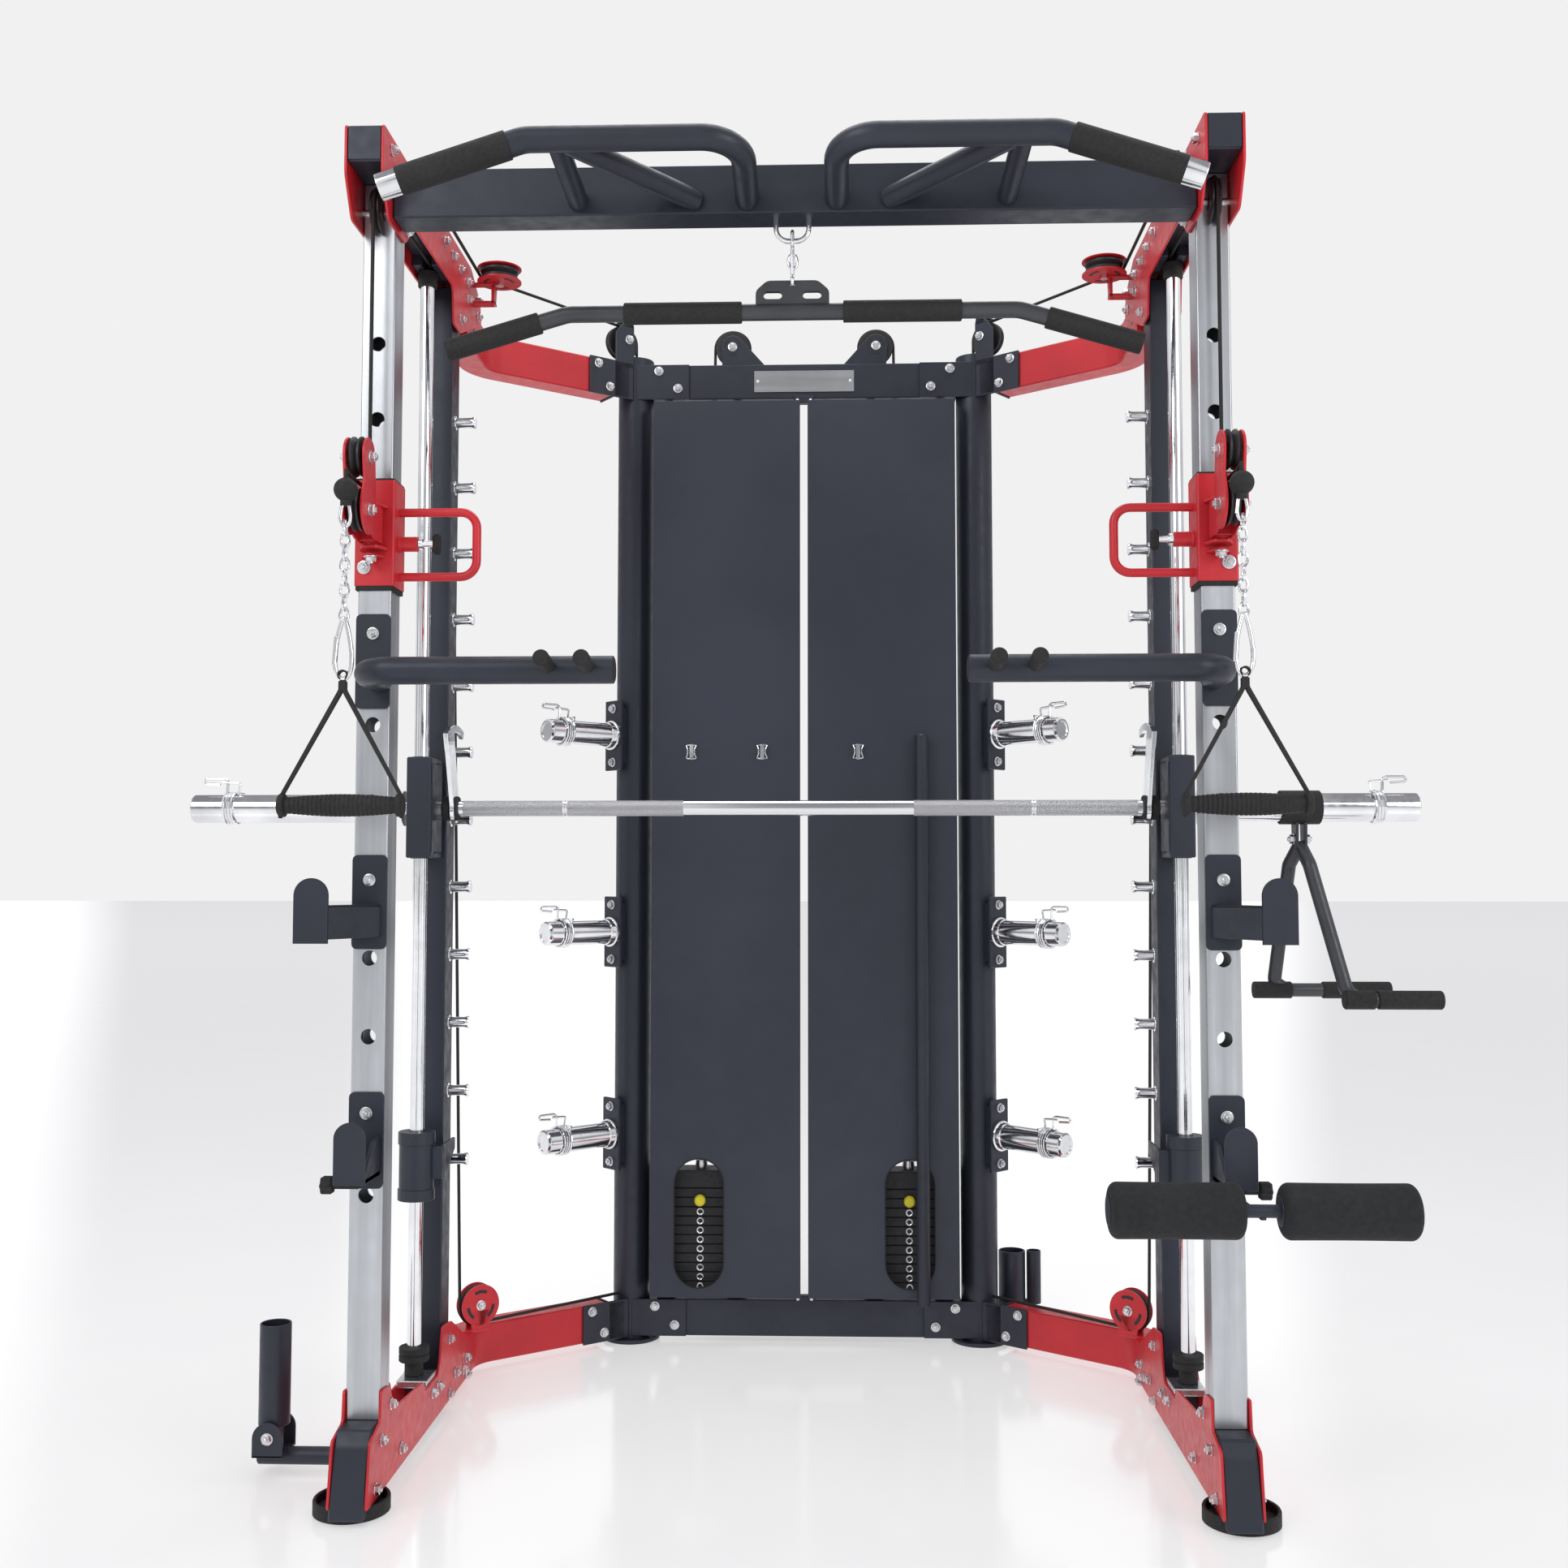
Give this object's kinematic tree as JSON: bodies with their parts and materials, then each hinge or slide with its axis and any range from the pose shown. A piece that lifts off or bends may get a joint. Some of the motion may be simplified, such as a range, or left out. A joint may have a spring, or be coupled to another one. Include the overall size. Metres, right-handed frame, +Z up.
{
  "type": "smith machine",
  "caption": "Free-standing smith machine with two cable columns: guided hook bar on rods, sliding pulley carriages, shrouded weight stacks, pull-up, dip and landmine attachments",
  "frame": {"origin": "middle of the footprint box, on the floor", "axes": "+X to the right of a person facing the machine, along the bar; +Y to the back; +Z up"},
  "size_m": [2.18, 1.2368, 2.156],
  "materials": {
    "red_paint": "satin powder coat",
    "black_paint": "fine satin powder coat, dark blue grey",
    "galvanised_steel": "galvanised, lightly brushed along the length",
    "chrome": "bright chrome, knurled bands on the bar",
    "cable_sheath": "black nylon sheath",
    "pulley_plastic": "moulded black nylon",
    "grip_rubber": "moulded rubber",
    "foam": "closed-cell foam, fine skin",
    "yellow_plastic": "moulded yellow knob",
    "stack_iron": "black painted cast iron"
  },
  "bodies": {
    "frame": {"left_front_upright": "galvanised_steel", "left_rear_upright": "black_paint", "left_guide_rod": "chrome", "left_top_frame": "red_paint", "left_base_frame": "red_paint", "left_base_arm": "red_paint", "left_column": "black_paint", "left_shroud": "black_paint", "left_weight_stack": "stack_iron", "left_front_cable": "cable_sheath", "left_frame_cable": "cable_sheath", "left_stack_cable": "cable_sheath", "left_dip_arm": "black_paint", "left_j_cup": "black_paint", "left_lower_catch": "black_paint", "right_front_upright": "galvanised_steel", "right_rear_upright": "black_paint", "right_guide_rod": "chrome", "right_top_frame": "red_paint", "right_base_frame": "red_paint", "right_base_arm": "red_paint", "right_column": "black_paint", "right_shroud": "black_paint", "right_weight_stack": "stack_iron", "right_front_cable": "cable_sheath", "right_frame_cable": "cable_sheath", "right_stack_cable": "cable_sheath", "right_dip_arm": "black_paint", "right_j_cup": "black_paint", "right_lower_catch": "black_paint", "top_crossbar": "black_paint", "bottom_crossbar": "black_paint", "pull_up_beam": "black_paint", "leg_roller": "foam"},
    "bar_carriage": {"left_bar_carrier": "black_paint", "right_bar_carrier": "black_paint"},
    "smith_bar": {"smith_bar": "chrome"},
    "row_handle": {"row_handle": "black_paint"},
    "left_carriage": {"left_carriage": "red_paint"},
    "left_pop_pin": {"left_pop_pin": "grip_rubber"},
    "left_swivel": {"left_swivel": "red_paint", "left_handle_cord": "cable_sheath"},
    "left_upper_wheel": {"left_upper_wheel": "pulley_plastic"},
    "left_lower_wheel": {"left_lower_wheel": "pulley_plastic"},
    "left_cable_handle": {"left_cable_handle": "grip_rubber"},
    "left_stack_head": {"left_stack_head": "stack_iron"},
    "left_selector_pin": {"left_selector_pin": "yellow_plastic"},
    "left_rod_stopper": {"left_rod_stopper": "black_paint"},
    "right_carriage": {"right_carriage": "red_paint"},
    "right_pop_pin": {"right_pop_pin": "grip_rubber"},
    "right_swivel": {"right_swivel": "red_paint", "right_handle_cord": "cable_sheath"},
    "right_upper_wheel": {"right_upper_wheel": "pulley_plastic"},
    "right_lower_wheel": {"right_lower_wheel": "pulley_plastic"},
    "right_cable_handle": {"right_cable_handle": "grip_rubber"},
    "right_stack_head": {"right_stack_head": "stack_iron"},
    "right_selector_pin": {"right_selector_pin": "yellow_plastic"},
    "right_rod_stopper": {"right_rod_stopper": "black_paint"},
    "lat_bar": {"lat_bar": "black_paint"},
    "landmine_tube": {"landmine_tube": "black_paint"}
  },
  "joints": [
    {"name": "bar_slide", "type": "slide", "parent": "frame", "child": "bar_carriage", "axis": [0, 0, 1], "range_m": [-0.46, 0.79]},
    {"name": "bar_turn", "type": "hinge", "parent": "bar_carriage", "child": "smith_bar", "pos_m": [0, -0.02764, 1.086], "axis": [1, 0, 0], "range_deg": [-20, 25]},
    {"name": "row_handle_swing", "type": "hinge", "parent": "smith_bar", "child": "row_handle", "pos_m": [0.884, -0.02764, 1.086], "axis": [1, 0, 0], "range_deg": [-60, 60]},
    {"name": "left_carriage_slide", "type": "slide", "parent": "frame", "child": "left_carriage", "axis": [0, 0, 1], "range_m": [-0.03, 0.244], "deforming": ["left_front_cable"]},
    {"name": "left_pop_pin_pull", "type": "slide", "parent": "left_carriage", "child": "left_pop_pin", "axis": [1, 0, 0], "range_m": [0, 0.012], "stiffness_N_per_m": 600},
    {"name": "left_swivel_turn", "type": "hinge", "parent": "left_carriage", "child": "left_swivel", "pos_m": [-0.662, -0.41764, 1.514], "axis": [0, 0, -1], "range_deg": [-15, 75]},
    {"name": "left_upper_wheel_spin", "type": "hinge", "parent": "left_swivel", "child": "left_upper_wheel", "pos_m": [-0.662, -0.48564, 1.606], "axis": [1, 0, 0], "continuous": true},
    {"name": "left_lower_wheel_spin", "type": "hinge", "parent": "left_swivel", "child": "left_lower_wheel", "pos_m": [-0.662, -0.48564, 1.524], "axis": [1, 0, 0], "range_deg": [0, 780]},
    {"name": "left_handle_pull", "type": "slide", "parent": "left_swivel", "child": "left_cable_handle", "axis": [0, 0, -1], "range_m": [0, 0.5], "deforming": ["left_handle_cord"]},
    {"name": "left_stack_lift", "type": "slide", "parent": "frame", "child": "left_stack_head", "axis": [0, 0, 1], "range_m": [0, 0.5], "deforming": ["left_stack_cable"]},
    {"name": "left_selector_pin_pull", "type": "slide", "parent": "left_stack_head", "child": "left_selector_pin", "axis": [0, -1, 0], "range_m": [0, 0.014]},
    {"name": "left_stopper_slide", "type": "slide", "parent": "frame", "child": "left_rod_stopper", "axis": [0, 0, 1], "range_m": [-0.24, 0.45]},
    {"name": "right_carriage_slide", "type": "slide", "parent": "frame", "child": "right_carriage", "axis": [0, 0, 1], "range_m": [-0.03, 0.244], "deforming": ["right_front_cable"]},
    {"name": "right_pop_pin_pull", "type": "slide", "parent": "right_carriage", "child": "right_pop_pin", "axis": [-1, 0, 0], "range_m": [0, 0.012], "stiffness_N_per_m": 600},
    {"name": "right_swivel_turn", "type": "hinge", "parent": "right_carriage", "child": "right_swivel", "pos_m": [0.662, -0.41764, 1.514], "axis": [0, 0, 1], "range_deg": [-15, 75]},
    {"name": "right_upper_wheel_spin", "type": "hinge", "parent": "right_swivel", "child": "right_upper_wheel", "pos_m": [0.662, -0.48564, 1.606], "axis": [1, 0, 0], "continuous": true},
    {"name": "right_lower_wheel_spin", "type": "hinge", "parent": "right_swivel", "child": "right_lower_wheel", "pos_m": [0.662, -0.48564, 1.524], "axis": [1, 0, 0], "range_deg": [0, 780]},
    {"name": "right_handle_pull", "type": "slide", "parent": "right_swivel", "child": "right_cable_handle", "axis": [0, 0, -1], "range_m": [0, 0.5], "deforming": ["right_handle_cord"]},
    {"name": "right_stack_lift", "type": "slide", "parent": "frame", "child": "right_stack_head", "axis": [0, 0, 1], "range_m": [0, 0.5], "deforming": ["right_stack_cable"]},
    {"name": "right_selector_pin_pull", "type": "slide", "parent": "right_stack_head", "child": "right_selector_pin", "axis": [0, -1, 0], "range_m": [0, 0.014]},
    {"name": "right_stopper_slide", "type": "slide", "parent": "frame", "child": "right_rod_stopper", "axis": [0, 0, 1], "range_m": [-0.24, 0.45]},
    {"name": "lat_bar_swing", "type": "hinge", "parent": "frame", "child": "lat_bar", "pos_m": [0, -0.40364, 1.968], "axis": [1, 0, 0], "range_deg": [-20, 20]},
    {"name": "landmine_tilt", "type": "hinge", "parent": "frame", "child": "landmine_tube", "pos_m": [-0.846, -0.25764, 0.064], "axis": [0, -1, 0], "range_deg": [-30, 75]}
  ],
  "couplings": [
    {"joint": "left_stack_lift", "follows": "left_handle_pull", "ratio": 1},
    {"joint": "left_lower_wheel_spin", "follows": "left_handle_pull", "rad_per_m": 26.9},
    {"joint": "right_stack_lift", "follows": "right_handle_pull", "ratio": 1},
    {"joint": "right_lower_wheel_spin", "follows": "right_handle_pull", "rad_per_m": 26.9}
  ]
}
